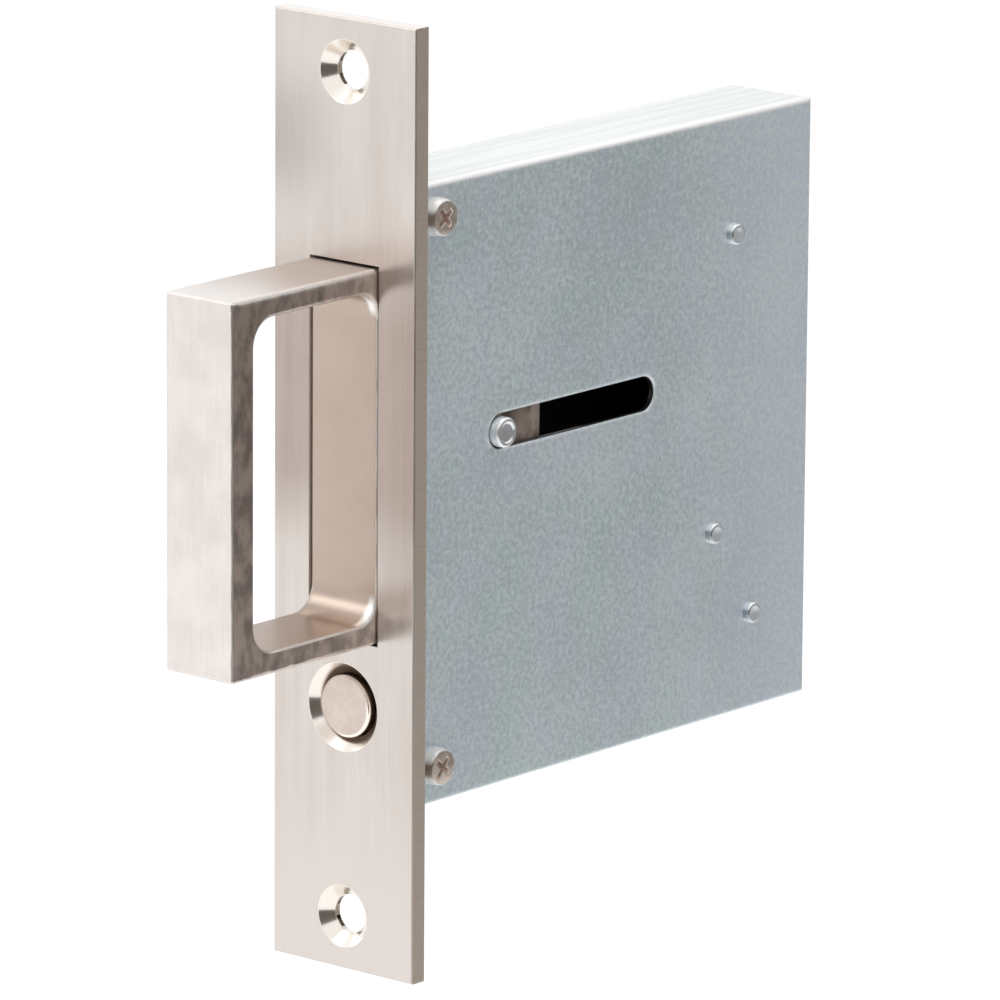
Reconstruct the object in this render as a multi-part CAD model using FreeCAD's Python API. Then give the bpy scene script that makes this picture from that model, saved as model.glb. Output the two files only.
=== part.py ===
import FreeCAD, Part
import math
import os

from FreeCAD import Vector

os.makedirs("parts", exist_ok=True)

# Pocket door pull. Millimetres. X runs across the door edge, Y runs into the door, Z is up.
# The origin is midway between the two fixing holes, on the back of the face plate.
# The back of the face plate lies on the door edge.

# Face plate
plate_width = 26.0
plate_height = 136.4
plate_thick = 2.65
plate_edge_break = 0.2
fixing_inset = 7.6
fixing_hole_dia = 5.6
fixing_sink_dia = 9.05

# Pull: a finger loop in front of the plate, and a tail that slides in the case
pull_case_gap = 0.25
pull_height = 53.6
pull_centre_z = 6.8
pull_reach = 30.1
pull_over_travel = 1.5
pull_front_bar = 4.6
pull_side_bar = 3.2
pull_loop_corner = 4.0
pull_edge_break = 0.3
pull_rear_bar_in = 0.1
pull_rear_bar_back = 3.35
tail_end_y = 32.45
tail_step = 8.35
window_gap_x = 0.25
window_gap_z = 0.35

# Tooth under the end of the tail, which the latch holds
tooth_length = 4.2
tooth_drop = 3.5
tooth_width = 8.0

# Guide pin and its slots
guide_drop = 0.36
guide_pin_y = 22.4
guide_pin_dia = 4.4
guide_pin_proud = 1.35
guide_pin_bevel = 0.45
slot_height = 5.1
slot_front_gap = 0.1
slot_rear_gap = 0.4
cover_slot_gap = 0.05
slot_edge_break = 0.25

# Case of two pieces of sheet steel
case_width = 14.8
case_sheet = 1.0
case_over_pull = 10.65
case_under_button = 14.85
case_bend = 0.5

# Case screws and the two lugs that they enter
screw_y = 8.2
upper_screw_inset = 4.65
lower_screw_inset = 5.55
screw_dia = 3.0
screw_head_dia = 5.45
screw_head_height = 1.9
screw_head_dome = 1.3
screw_head_flat = 4.7
screw_length = 8.8
screw_hole_gap = 0.1
recess_width = 0.8
recess_span = 3.3
recess_depth = 1.1
lug_depth = 13.0
lug_clear = 1.45
lug_button_gap = 0.75
lug_wall_gap = 0.1
lug_tap_depth = 10.0

# Riveted posts across the case
post_dia = 5.0
bar_post_dia = 4.0
upper_post_over_spring = 7.9
upper_post_back = 4.1
bar_post_back = 8.95
bar_post_drop = 0.35
rivet_dia = 3.1
rivet_proud = 1.0
rivet_round = 0.4
rivet_dish = 0.25
spacer_dia = 6.6

# Drive springs, the rods that keep them straight and their rear seat
spring_edge = 5.95
spring_outer_dia = 8.0
spring_wire = 0.7
spring_turns = 14
spring_pocket_dia = 8.8
spring_pocket_depth = 24.0
rod_dia = 5.0
rod_end_gap = 2.3
rod_tenon_dia = 3.5
spring_seat_thick = 2.0
spring_seat_gap = 0.25
spring_seat_over = 4.6

# Button and release bar
button_below_pull = 10.1
button_dia = 9.0
button_recess = 0.35
button_head = 8.8
button_edge_round = 0.4
button_shank_dia = 6.0
button_shank = 8.0
button_hole_dia = 9.15
button_sink_dia = 12.8
button_travel = 2.0
cross_pin_dia = 1.5
cross_pin_back = 4.5
cross_pin_short = 0.2
bar_thick = 2.0
bar_height = 7.0
bar_tongue_height = 4.0
bar_tongue_back = 1.0
bar_eye_height = 11.0
bar_eye_front = 4.5
bar_eye_rear = 8.0
bar_rear_clear = 3.95
running_gap = 0.05
side_gap = 0.1

# Latch: a bell crank with a hook in front and a round-ended finger below
latch_thick = 3.0
latch_hub_dia = 8.6
latch_below_tooth = 1.44
latch_finger_dia = 4.0
latch_finger_over_bar = 1.3
latch_neck = 3.0
latch_notch_gap = 0.1
latch_notch_floor = 0.4
hook_length = 12.05
hook_hold = 1.8
hook_slack = 0.2
hook_land = 3.2
hook_ramp = 2.6
hook_arm_clear = 0.6
hook_arm_height = 3.8

# Latch spring
latch_wire = 0.6
latch_coil_dia = 7.9
latch_coil_turns = 3
latch_coil_gap = 0.15
latch_leg_rest = 0.4
latch_leg_high = 12.6
latch_leg_front = 13.9

# Places that follow from the sizes above
plate_front_y = -plate_thick
fixing_spacing = plate_height - 2 * fixing_inset
half_case = case_width / 2
half_inside = half_case - case_sheet
pull_width = 2 * (half_inside - pull_case_gap)
pull_low_z = pull_centre_z - pull_height / 2
pull_high_z = pull_centre_z + pull_height / 2
pull_front_y = plate_front_y - pull_reach
rear_bar_y = plate_front_y + pull_rear_bar_in
pull_travel = pull_reach + pull_over_travel
guide_z = pull_centre_z - guide_drop
tail_half_height = pull_height / 2 - tail_step
spring_spread = tail_half_height - spring_edge
tail_low_z = guide_z - tail_half_height
tail_high_z = guide_z + tail_half_height
tooth_low_z = tail_low_z - tooth_drop
button_z = pull_low_z - button_below_pull
button_front_y = plate_front_y + button_recess
button_back = button_front_y + button_head
button_shank_back = button_back + button_shank
hook_back_y = tail_end_y - tooth_length + pull_reach - hook_slack
latch_post_y = hook_back_y + hook_length
latch_post_z = tooth_low_z - latch_below_tooth
latch_arm = latch_post_z - button_z - latch_finger_over_bar
bar_post_y = latch_post_y + bar_post_back
bar_post_z = button_z - bar_post_drop
case_top_z = pull_high_z + case_over_pull
case_bottom_z = button_z - case_under_button
case_rear_y = bar_post_y + bar_eye_rear + bar_rear_clear + case_sheet
upper_screw_z = case_top_z - upper_screw_inset
lower_screw_z = case_bottom_z + lower_screw_inset
upper_spring_z = guide_z + spring_spread
lower_spring_z = guide_z - spring_spread
spring_front_y = tail_end_y - spring_pocket_depth
spring_rear_y = case_rear_y - case_sheet - spring_seat_thick
rod_front_y = spring_front_y + pull_travel + rod_end_gap
upper_post_y = latch_post_y + upper_post_back
upper_post_z = upper_spring_z + upper_post_over_spring
slot_front_y = guide_pin_y - guide_pin_dia / 2 - slot_front_gap
slot_rear_y = guide_pin_y + guide_pin_dia / 2 + pull_travel + slot_rear_gap


def block(x0, x1, y0, y1, z0, z1):
    return Part.makeBox(x1 - x0, y1 - y0, z1 - z0, Vector(x0, y0, z0))


def rod_x(dia, x0, x1, y, z):
    return Part.makeCylinder(dia / 2, x1 - x0, Vector(x0, y, z), Vector(1, 0, 0))


def rod_y(dia, y0, y1, x, z):
    return Part.makeCylinder(dia / 2, y1 - y0, Vector(x, y0, z), Vector(0, 1, 0))


def turned_x(profile, y, z):
    """Solid turned about a line along X through (y, z), from (x, radius) points."""
    points = [Vector(x, y + r, z) for x, r in profile]
    points.append(points[0])
    face = Part.Face(Part.makePolygon(points))
    return face.revolve(Vector(0, y, z), Vector(1, 0, 0), 360)


def turned_y(profile, x, z):
    """Solid turned about a line along Y through (x, z), from (y, radius) points."""
    points = [Vector(x + r, y, z) for y, r in profile]
    points.append(points[0])
    face = Part.Face(Part.makePolygon(points))
    return face.revolve(Vector(x, 0, z), Vector(0, 1, 0), 360)


def sheet_piece(points, x0, x1):
    """Flat piece cut to an outline of (y, z) points, between x0 and x1."""
    corners = [Vector(x0, y, z) for y, z in points]
    corners.append(corners[0])
    return Part.Face(Part.makePolygon(corners)).extrude(Vector(x1 - x0, 0, 0))


def slot_x(height, y0, y1, z, x0, x1):
    """Round-ended slot along Y, cut in the X direction."""
    r = height / 2
    body = block(x0, x1, y0 + r, y1 - r, z - r, z + r)
    body = body.fuse(rod_x(height, x0, x1, y0 + r, z))
    return body.fuse(rod_x(height, x0, x1, y1 - r, z)).removeSplitter()


def countersunk(hole_dia, sink_dia, z):
    depth = (sink_dia - hole_dia) / 2
    over = 0.5
    start = plate_front_y - over
    hole = rod_y(hole_dia, start, over, 0, z)
    cone = Part.makeCone(sink_dia / 2 + over, hole_dia / 2, depth + over,
                         Vector(0, start, z), Vector(0, 1, 0))
    return hole.fuse(cone)


def edges_where(shape, test):
    return [e for e in shape.Edges if test(e.BoundBox)]


def wire_solid(path, wire_dia, sides, start):
    """Bent wire: straight lengths with mitred joints. start is the first corner's direction."""
    r = wire_dia / 2
    steps = [(b - a).normalize() for a, b in zip(path, path[1:])]
    side = (start - steps[0] * start.dot(steps[0])).normalize()
    other = steps[0].cross(side)
    ring = []
    for j in range(sides):
        a = 2 * math.pi * j / sides
        ring.append(path[0] + side * (r * math.cos(a)) + other * (r * math.sin(a)))
    rings = [ring]
    for i, step in enumerate(steps):
        following = steps[min(i + 1, len(steps) - 1)]
        normal = step + following
        here = path[i + 1]
        ring = [p + step * ((here - p).dot(normal) / step.dot(normal)) for p in ring]
        rings.append(ring)
    faces = [Part.Face(Part.makePolygon(rings[0] + rings[0][:1]))]
    for low, high in zip(rings, rings[1:]):
        for j in range(sides):
            k = (j + 1) % sides
            faces.append(Part.Face(Part.makePolygon([low[j], low[k], high[k], high[j], low[j]])))
    faces.append(Part.Face(Part.makePolygon(rings[-1] + rings[-1][:1])))
    solid = Part.Solid(Part.makeShell(faces))
    if solid.Volume < 0:
        solid.reverse()
    return solid


def coil_path(radius, y0, y1, turns, x, z, per_turn=6, dead=4):
    """Compression spring along Y with flat end coils."""
    count = turns * per_turn
    rise = (y1 - y0) / (count - 2 * dead)
    points = []
    for i in range(count + 1):
        a = 2 * math.pi * i / per_turn
        y = y0 + rise * min(max(i - dead, 0), count - 2 * dead)
        points.append(Vector(x + radius * math.cos(a), y, z + radius * math.sin(a)))
    return points


parts = {}

# Face plate
plate = block(-plate_width / 2, plate_width / 2, plate_front_y, 0, -plate_height / 2, plate_height / 2)
front_edges = edges_where(plate, lambda b: b.YMax < plate_front_y + 0.001)
plate = plate.makeChamfer(plate_edge_break, front_edges)
for z in (fixing_spacing / 2, -fixing_spacing / 2):
    plate = plate.cut(countersunk(fixing_hole_dia, fixing_sink_dia, z))
plate = plate.cut(countersunk(button_hole_dia, button_sink_dia, button_z))
window_half_x = pull_width / 2 + window_gap_x
window = block(-window_half_x, window_half_x, plate_front_y - 1, 1,
               pull_low_z - window_gap_z, pull_high_z + window_gap_z)
parts["face_plate"] = plate.cut(window)

# Lugs on the back of the face plate, tapped for the case screws
upper_lug_low = pull_high_z + lug_clear
upper_lug_high = case_top_z - case_sheet - lug_wall_gap
lower_lug_low = case_bottom_z + case_sheet + lug_wall_gap
lower_lug_high = button_z - button_dia / 2 - lug_button_gap
for name, z0, z1, screw_z in (("upper_lug", upper_lug_low, upper_lug_high, upper_screw_z),
                              ("lower_lug", lower_lug_low, lower_lug_high, lower_screw_z)):
    lug = block(-half_inside, half_inside, 0, lug_depth, z0, z1)
    tapped = rod_x(screw_dia, half_inside - lug_tap_depth, half_inside + 1, screw_y, screw_z)
    parts[name] = lug.cut(tapped)

# Case tray: near side, top, bottom and back folded from one sheet
tray = block(-half_inside, half_case, 0, case_rear_y, case_bottom_z, case_top_z)
fold_edges = edges_where(tray, lambda b: b.XMin > half_case - 0.001 and b.YMax > 0.001)
tray = tray.makeFillet(case_bend, fold_edges)
tray = tray.cut(block(-half_inside - 1, half_inside, -1, case_rear_y - case_sheet,
                      case_bottom_z + case_sheet, case_top_z - case_sheet))
cover = block(-half_case, -half_inside, 0, case_rear_y, case_bottom_z, case_top_z)
tray = tray.cut(slot_x(slot_height, slot_front_y, slot_rear_y, guide_z, half_inside - 1, half_case + 1))
cover = cover.cut(slot_x(guide_pin_dia + 2 * cover_slot_gap, slot_front_y, slot_rear_y, guide_z,
                         -half_case - 1, 1 - half_inside))
slot_rim = edges_where(tray, lambda b: b.XMin > half_case - 0.001 and b.ZMin > guide_z - slot_height
                       and b.ZMax < guide_z + slot_height)
tray = tray.makeChamfer(slot_edge_break, slot_rim)
for screw_z in (upper_screw_z, lower_screw_z):
    tray = tray.cut(rod_x(screw_dia + 2 * screw_hole_gap, half_inside - 1, half_case + 1, screw_y, screw_z))
for y, z in ((upper_post_y, upper_post_z), (latch_post_y, latch_post_z), (bar_post_y, bar_post_z)):
    rivet_hole = rod_x(rivet_dia, -half_case - 1, half_case + 1, y, z)
    tray = tray.cut(rivet_hole)
    cover = cover.cut(rivet_hole)
parts["case_tray"] = tray
parts["case_cover"] = cover

# Case screws: pan heads with a cross recess
for name, screw_z in (("upper_case_screw", upper_screw_z), ("lower_case_screw", lower_screw_z)):
    top = half_case + screw_head_height
    r = screw_head_dia / 2
    screw = turned_x([(half_case - screw_length, 0), (half_case - screw_length, screw_dia / 2),
                      (half_case, screw_dia / 2), (half_case, r), (top - screw_head_dome, r),
                      (top, screw_head_flat / 2), (top, 0)], screw_y, screw_z)
    floor = top - recess_depth
    for dy, dz in ((recess_span / 2, recess_width / 2), (recess_width / 2, recess_span / 2)):
        screw = screw.cut(block(floor, top + 1, screw_y - dy, screw_y + dy, screw_z - dz, screw_z + dz))
    parts[name] = screw

# Posts riveted through both sides of the case, with rounded and dished ends
for name, y, z, dia in (("upper_post", upper_post_y, upper_post_z, post_dia),
                        ("latch_post", latch_post_y, latch_post_z, post_dia),
                        ("bar_guide_post", bar_post_y, bar_post_z, bar_post_dia)):
    end = half_case + rivet_proud
    r = rivet_dia / 2
    half = [(half_inside, dia / 2), (half_inside, r), (end - rivet_round, r),
            (end, r - rivet_round), (end - rivet_dish, 0)]
    profile = half + [(-x, radius) for x, radius in reversed(half)]
    parts[name] = turned_x(profile, y, z)

# Spacer tubes that keep the latch and the release bar in the middle of the case
latch_side = latch_thick / 2 + side_gap
bar_side = bar_thick / 2 + side_gap
for name, x0, bore, y, z in (("latch_spacer", latch_side, post_dia, latch_post_y, latch_post_z),
                             ("bar_spacer", bar_side, bar_post_dia, bar_post_y, bar_post_z)):
    tube = rod_x(spacer_dia, x0, half_inside, y, z).cut(rod_x(bore, x0 - 1, half_inside + 1, y, z))
    parts[name + "_near"] = tube
    parts[name + "_far"] = tube.mirror(Vector(0, 0, 0), Vector(1, 0, 0))

# Rear seat for the drive springs, with a rod riveted in it for each spring
half_seat = half_inside - spring_seat_gap
seat = block(-half_seat, half_seat, spring_rear_y, spring_rear_y + spring_seat_thick,
             lower_spring_z - spring_seat_over, upper_spring_z + spring_seat_over)
for name, z in (("upper", upper_spring_z), ("lower", lower_spring_z)):
    seat = seat.cut(rod_y(rod_tenon_dia, spring_rear_y - 1, case_rear_y, 0, z))
    profile = [(rod_front_y, 0), (rod_front_y, rod_dia / 2), (spring_rear_y, rod_dia / 2),
               (spring_rear_y, rod_tenon_dia / 2),
               (spring_rear_y + spring_seat_thick, rod_tenon_dia / 2), (spring_rear_y + spring_seat_thick, 0)]
    parts[name + "_spring_rod"] = turned_y(profile, 0, z)
    coil = coil_path((spring_outer_dia - spring_wire) / 2, spring_front_y + spring_wire / 2,
                     spring_rear_y - spring_wire / 2, spring_turns, 0, z)
    parts[name + "_drive_spring"] = wire_solid(coil, spring_wire, 5, Vector(0, 1, 0))
parts["spring_seat"] = seat

# Pull: loop, rear bar and tail in one piece
half_pull = pull_width / 2
loop = block(-half_pull, half_pull, pull_front_y, pull_rear_bar_back, pull_low_z, pull_high_z)
outer_edges = edges_where(loop, lambda b: b.YMin < pull_rear_bar_back - 0.001)
loop = loop.makeChamfer(pull_edge_break, outer_edges)
opening = block(-half_pull - 1, half_pull + 1, pull_front_y + pull_front_bar, rear_bar_y,
                pull_low_z + pull_side_bar, pull_high_z - pull_side_bar)
opening = opening.makeFillet(pull_loop_corner, edges_where(opening, lambda b: b.XLength > pull_width))
loop = loop.cut(opening)
rim = edges_where(loop, lambda b: b.XLength < 0.001 and abs(b.XMin) > half_pull - 0.001
                  and b.YMin > pull_front_y + pull_front_bar - 0.001
                  and b.YMax < rear_bar_y + 0.001
                  and b.ZMin > pull_low_z + pull_side_bar - 0.001
                  and b.ZMax < pull_high_z - pull_side_bar + 0.001)
loop = loop.makeChamfer(pull_edge_break, rim)
tail = block(-half_pull, half_pull, pull_rear_bar_back - 1, tail_end_y, tail_low_z, tail_high_z)
tooth = block(-tooth_width / 2, tooth_width / 2, tail_end_y - tooth_length, tail_end_y,
              tail_low_z - tooth_drop, tail_low_z + 1)
pull = loop.fuse(tail).fuse(tooth).removeSplitter()
for z in (upper_spring_z, lower_spring_z):
    pull = pull.cut(rod_y(spring_pocket_dia, spring_front_y, tail_end_y + 1, 0, z))
pull = pull.cut(rod_x(guide_pin_dia, -half_pull - 1, half_pull + 1, guide_pin_y, guide_z))
parts["pull"] = pull

# Guide pin, pressed through the tail and running in the slots of the case
pin_end = half_case + guide_pin_proud
pin_r = guide_pin_dia / 2
half = [(pin_end - guide_pin_bevel, pin_r), (pin_end, pin_r - guide_pin_bevel),
        (pin_end - rivet_dish, pin_r - 2 * guide_pin_bevel), (pin_end - rivet_dish, 0)]
parts["guide_pin"] = turned_x(half + [(-x, radius) for x, radius in reversed(half)], guide_pin_y, guide_z)

# Button, with a slotted shank for the release bar
profile = [(button_front_y, 0), (button_front_y, button_dia / 2 - button_edge_round),
           (button_front_y + button_edge_round, button_dia / 2), (button_back, button_dia / 2),
           (button_back, button_shank_dia / 2), (button_shank_back, button_shank_dia / 2),
           (button_shank_back, 0)]
bar_tongue_y = button_back + bar_tongue_back
cross_pin_y = button_back + cross_pin_back
button = turned_y(profile, 0, button_z)
button = button.cut(block(-bar_thick / 2, bar_thick / 2, bar_tongue_y, button_shank_back + 1,
                          button_z - button_dia, button_z + button_dia))
cross_hole = rod_x(cross_pin_dia, -button_dia, button_dia, cross_pin_y, button_z)
parts["button"] = button.cut(cross_hole)
cross_pin_half = button_shank_dia / 2 - cross_pin_short
parts["button_cross_pin"] = rod_x(cross_pin_dia, -cross_pin_half, cross_pin_half, cross_pin_y, button_z)

# Release bar: it joins the button to the latch and slides on the bar guide post
swing = 2 * math.asin(button_travel / 2 / latch_arm)
finger_y = latch_post_y + button_travel / 2
finger_z = latch_post_z - math.sqrt(latch_arm ** 2 - (button_travel / 2) ** 2)
half_bar = bar_thick / 2
bar_eye_y = bar_post_y - bar_eye_front
bar = block(-half_bar, half_bar, bar_tongue_y, bar_eye_y + 1, button_z - bar_tongue_height / 2,
            button_z + bar_tongue_height / 2)
bar = bar.fuse(block(-half_bar, half_bar, button_shank_back + 1, bar_eye_y + 1,
                     button_z - bar_height / 2, button_z + bar_height / 2))
bar = bar.fuse(block(-half_bar, half_bar, bar_eye_y, bar_post_y + bar_eye_rear,
                     bar_post_z - bar_eye_height / 2, bar_post_z + bar_eye_height / 2)).removeSplitter()
notch_width = latch_finger_dia + 2 * latch_notch_gap
notch_floor = finger_z - latch_finger_dia / 2 - latch_notch_floor
bar = bar.cut(block(-half_bar - 1, half_bar + 1, finger_y - notch_width / 2, finger_y + notch_width / 2,
                    notch_floor, button_z + bar_height))
guide_height = bar_post_dia + 2 * running_gap
guide_front = bar_post_y - bar_post_dia / 2 - side_gap
guide_rear = bar_post_y + bar_post_dia / 2 + button_travel + side_gap
bar = bar.cut(slot_x(guide_height, guide_front, guide_rear, bar_post_z, -half_bar - 1, half_bar + 1))
parts["release_bar"] = bar.cut(cross_hole)

# Latch. The hook is drawn in its holding position, then turned down to where it hangs with the pull out.
half_latch = latch_thick / 2
hub_r = latch_hub_dia / 2
hook_top_z = tooth_low_z + hook_hold
arm_top_z = tooth_low_z - hook_arm_clear
arm_low_z = arm_top_z - hook_arm_height
arm = sheet_piece([(hook_back_y, hook_top_z), (hook_back_y - hook_land, hook_top_z),
                   (hook_back_y - hook_land - hook_ramp, arm_top_z),
                   (hook_back_y - hook_land - hook_ramp, arm_low_z),
                   (latch_post_y, latch_post_z - hub_r), (latch_post_y, latch_post_z),
                   (latch_post_y - hub_r, arm_top_z), (hook_back_y, arm_top_z)], -half_latch, half_latch)
axis_point = Vector(0, latch_post_y, latch_post_z)
arm = arm.rotate(axis_point, Vector(1, 0, 0), math.degrees(swing))
hub = rod_x(latch_hub_dia, -half_latch, half_latch, latch_post_y, latch_post_z)
shoulder = hub_r - latch_neck / 4
neck_z = latch_post_z - 2 * hub_r
finger = sheet_piece([(latch_post_y - shoulder, latch_post_z), (latch_post_y + shoulder, latch_post_z),
                      (latch_post_y + latch_neck / 2, neck_z),
                      (latch_post_y + latch_neck / 2, latch_post_z - latch_arm),
                      (latch_post_y - latch_neck / 2, latch_post_z - latch_arm),
                      (latch_post_y - latch_neck / 2, neck_z)], -half_latch, half_latch)
finger = finger.fuse(rod_x(latch_finger_dia, -half_latch, half_latch, latch_post_y, latch_post_z - latch_arm))
finger = finger.rotate(axis_point, Vector(1, 0, 0), math.degrees(swing) / 2)
latch = hub.fuse(arm).fuse(finger).removeSplitter()
latch_bore = rod_x(post_dia + 2 * running_gap, -half_latch - 1, half_latch + 1, latch_post_y, latch_post_z)
parts["latch"] = latch.cut(latch_bore)

# Latch spring: coiled round the near spacer, one leg under the hook arm, the other up behind the tail
coil_r = latch_coil_dia / 2
per_turn = 10
coil_x = half_latch + side_gap + latch_wire
coil_pitch = latch_wire + latch_coil_gap
count = latch_coil_turns * per_turn
first_angle = math.radians(250)
last_extra = math.radians(40)
path = []
for i in range(count + 1):
    a = first_angle - 2 * math.pi * i / per_turn - last_extra * i / count
    path.append(Vector(coil_x + coil_pitch * i / per_turn,
                       latch_post_y + coil_r * math.cos(a), latch_post_z + coil_r * math.sin(a)))
# The lower leg ends against the underside of the hook arm, which is straight from the hook to the hub
arm_front = Vector(0, hook_back_y - hook_land - hook_ramp, arm_low_z)
arm_back = Vector(0, latch_post_y, latch_post_z - hub_r)
turn = FreeCAD.Rotation(Vector(1, 0, 0), math.degrees(swing))
held = arm_front * (1 - latch_leg_rest) + arm_back * latch_leg_rest
under_arm = axis_point + turn.multVec(held - axis_point)
slope = turn.multVec(arm_back - arm_front).normalize()
away = Vector(0, slope.z, -slope.y)
under_arm = under_arm + away * (latch_wire / 2)
low_leg = [Vector(-half_latch + latch_wire, under_arm.y, under_arm.z),
           Vector(coil_x, under_arm.y, under_arm.z)]
high_leg = [Vector(path[-1].x, latch_post_y - latch_leg_front, latch_post_z + latch_leg_high)]
parts["latch_spring"] = wire_solid(low_leg + path + high_leg, latch_wire, 6, Vector(0, 0, 1))

for name, shape in parts.items():
    assert shape.isValid(), name
    assert len(shape.Solids) == 1, name
    assert shape.Volume > 0, name
    shape.exportStep("parts/" + name + ".step")
    print(name, round(shape.Volume, 2), len(shape.Faces))
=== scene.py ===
import math

import bmesh
import bpy
from mathutils import Matrix, Vector


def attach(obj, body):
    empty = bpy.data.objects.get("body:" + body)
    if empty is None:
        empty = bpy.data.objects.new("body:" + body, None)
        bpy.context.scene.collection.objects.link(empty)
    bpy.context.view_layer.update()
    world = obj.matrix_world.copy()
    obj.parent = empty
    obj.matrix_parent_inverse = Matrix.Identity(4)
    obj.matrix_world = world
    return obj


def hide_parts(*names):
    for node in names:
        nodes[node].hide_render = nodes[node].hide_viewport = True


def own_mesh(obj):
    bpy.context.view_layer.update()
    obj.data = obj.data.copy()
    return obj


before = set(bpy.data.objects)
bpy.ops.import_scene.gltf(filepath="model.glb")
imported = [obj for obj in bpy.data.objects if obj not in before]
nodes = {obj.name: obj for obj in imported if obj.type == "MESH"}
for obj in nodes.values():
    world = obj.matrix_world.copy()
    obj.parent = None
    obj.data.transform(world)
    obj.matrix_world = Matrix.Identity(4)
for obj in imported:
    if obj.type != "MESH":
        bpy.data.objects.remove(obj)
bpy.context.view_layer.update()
scene = bpy.context.scene
scene.view_settings.view_transform = "Standard"

# Camera, fitted to the photograph
CAMERA_AZIMUTH = 40.25
CAMERA_ELEVATION = 13.5
CAMERA_ROLL = 0.4
CAMERA_DISTANCE = 1.3051
CAMERA_LENS = 332.76
CAMERA_TARGET = Vector((0, 0.01735, 0))
CAMERA_RIGHT = 0.0089
CAMERA_UP = -0.00368

# Corners of a square, in order
SQUARE = ((-1, -1), (1, -1), (1, 1), (-1, 1))

# Floor and the unlit side of the studio
FLOOR_Z = -0.30
FLOOR_SIZE = 8.0
FLOOR_GLOW = 0.50
WALL_RADIUS = 0.75
WALL_FROM = -56
WALL_TO = 85
WALL_LOW = -0.29
WALL_HIGH = 0.262

def span(name):
    """Low and high corner of a CAD node at rest, in metres like all sizes here."""
    points = [nodes[name].matrix_world @ vertex.co for vertex in nodes[name].data.vertices]
    return [[pick(point[axis] for point in points) for axis in range(3)] for pick in (min, max)]


# Pull: its ends, the bars of its loop and the loop's inner corners
(_, PULL_FRONT, PULL_LOW), (PULL_HALF, _, PULL_HIGH) = span("pull")
PULL_SIDE_BAR = 0.0032
PULL_FRONT_BAR = 0.0046
PULL_CORNER = 0.0040

# Face plate: its ends, its broken front edge, the window round the pull and the fixing holes
(_, PLATE_FRONT, _), (PLATE_HALF, _, PLATE_END) = span("face_plate")
PLATE_BREAK = 0.0002
WINDOW_HALF = PULL_HALF + 0.00025
WINDOW_LOW = PULL_LOW - 0.00035
WINDOW_HIGH = PULL_HIGH + 0.00035
HOLE_Z = 0.0606
HOLE_RADIUS = 0.0028
HOLE_SINK = 0.004525

# Case of folded sheet
(_, _, CASE_LOW), (CASE_HALF, CASE_REAR, CASE_HIGH) = span("case_tray")
CASE_SHEET = 0.001

# Button in its hole, with its shank, the slot for the release bar's tongue and the cross pin's bore
BUTTON_Z = -0.0301
BUTTON_HOLE = 0.004575
BUTTON_SINK = 0.0064
BUTTON_FRONT = -0.0023
BUTTON_BACK = 0.0065
BUTTON_RADIUS = 0.0045
SHANK_BACK = 0.0145
SHANK_RADIUS = 0.003
TONGUE_FRONT = 0.0075
TONGUE_HALF = 0.001
CROSS_PIN_Y = 0.0110
CROSS_PIN_RADIUS = 0.00075

# Posts across the case: place along Y and Z, and radius
POSTS = {
    "upper_post": (0.0743, 0.02684, 0.0025),
    "latch_post": (0.0702, -0.01695, 0.0025),
    "bar_guide_post": (0.07915, -0.03045, 0.002),
}

# Case screws: height, and the turn of the cross recess in degrees
SCREW_Y = 0.0082
SCREWS = {"upper_case_screw": (0.0396, 38), "lower_case_screw": (-0.0394, 52)}
SCREW_HEAD = 0.0019

# Guide pin
GUIDE_Y = 0.0224
GUIDE_Z = 0.00644
GUIDE_RADIUS = 0.0022

# Drive springs: their ends, and the height of each
SPRING_FRONT = 0.00845
SPRING_REAR = 0.0891
DRIVE_SPRINGS = {"upper_drive_spring": 0.01894, "lower_drive_spring": -0.00606}

# Finishes: where the noise starts, to keep its grid off the part's flat faces, and how deep marks are
NOISE_PLACE = (17.3, 5.71, 31.37)
GRAIN_DEPTH = 0.00003
POLISH_DEPTH = 0.00002
BRUSHED_UPRIGHT = (0, 0.15, 1)


def make_camera():
    az, el, roll = (math.radians(a) for a in (CAMERA_AZIMUTH, CAMERA_ELEVATION, CAMERA_ROLL))
    back = Vector((math.sin(az) * math.cos(el), -math.cos(az) * math.cos(el), math.sin(el)))
    level = Vector((math.cos(az), math.sin(az), 0))
    upright = back.cross(level)
    right = level * math.cos(roll) + upright * math.sin(roll)
    up = upright * math.cos(roll) - level * math.sin(roll)
    data = bpy.data.cameras.new("camera")
    data.lens = CAMERA_LENS
    data.sensor_width = 36
    data.clip_start = 0.05
    data.clip_end = 20
    camera = bpy.data.objects.new("camera", data)
    scene.collection.objects.link(camera)
    place = CAMERA_TARGET + right * CAMERA_RIGHT + up * CAMERA_UP + back * CAMERA_DISTANCE
    camera.matrix_world = Matrix.Translation(place) @ Matrix((right, up, back)).transposed().to_4x4()
    scene.camera = camera


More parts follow.
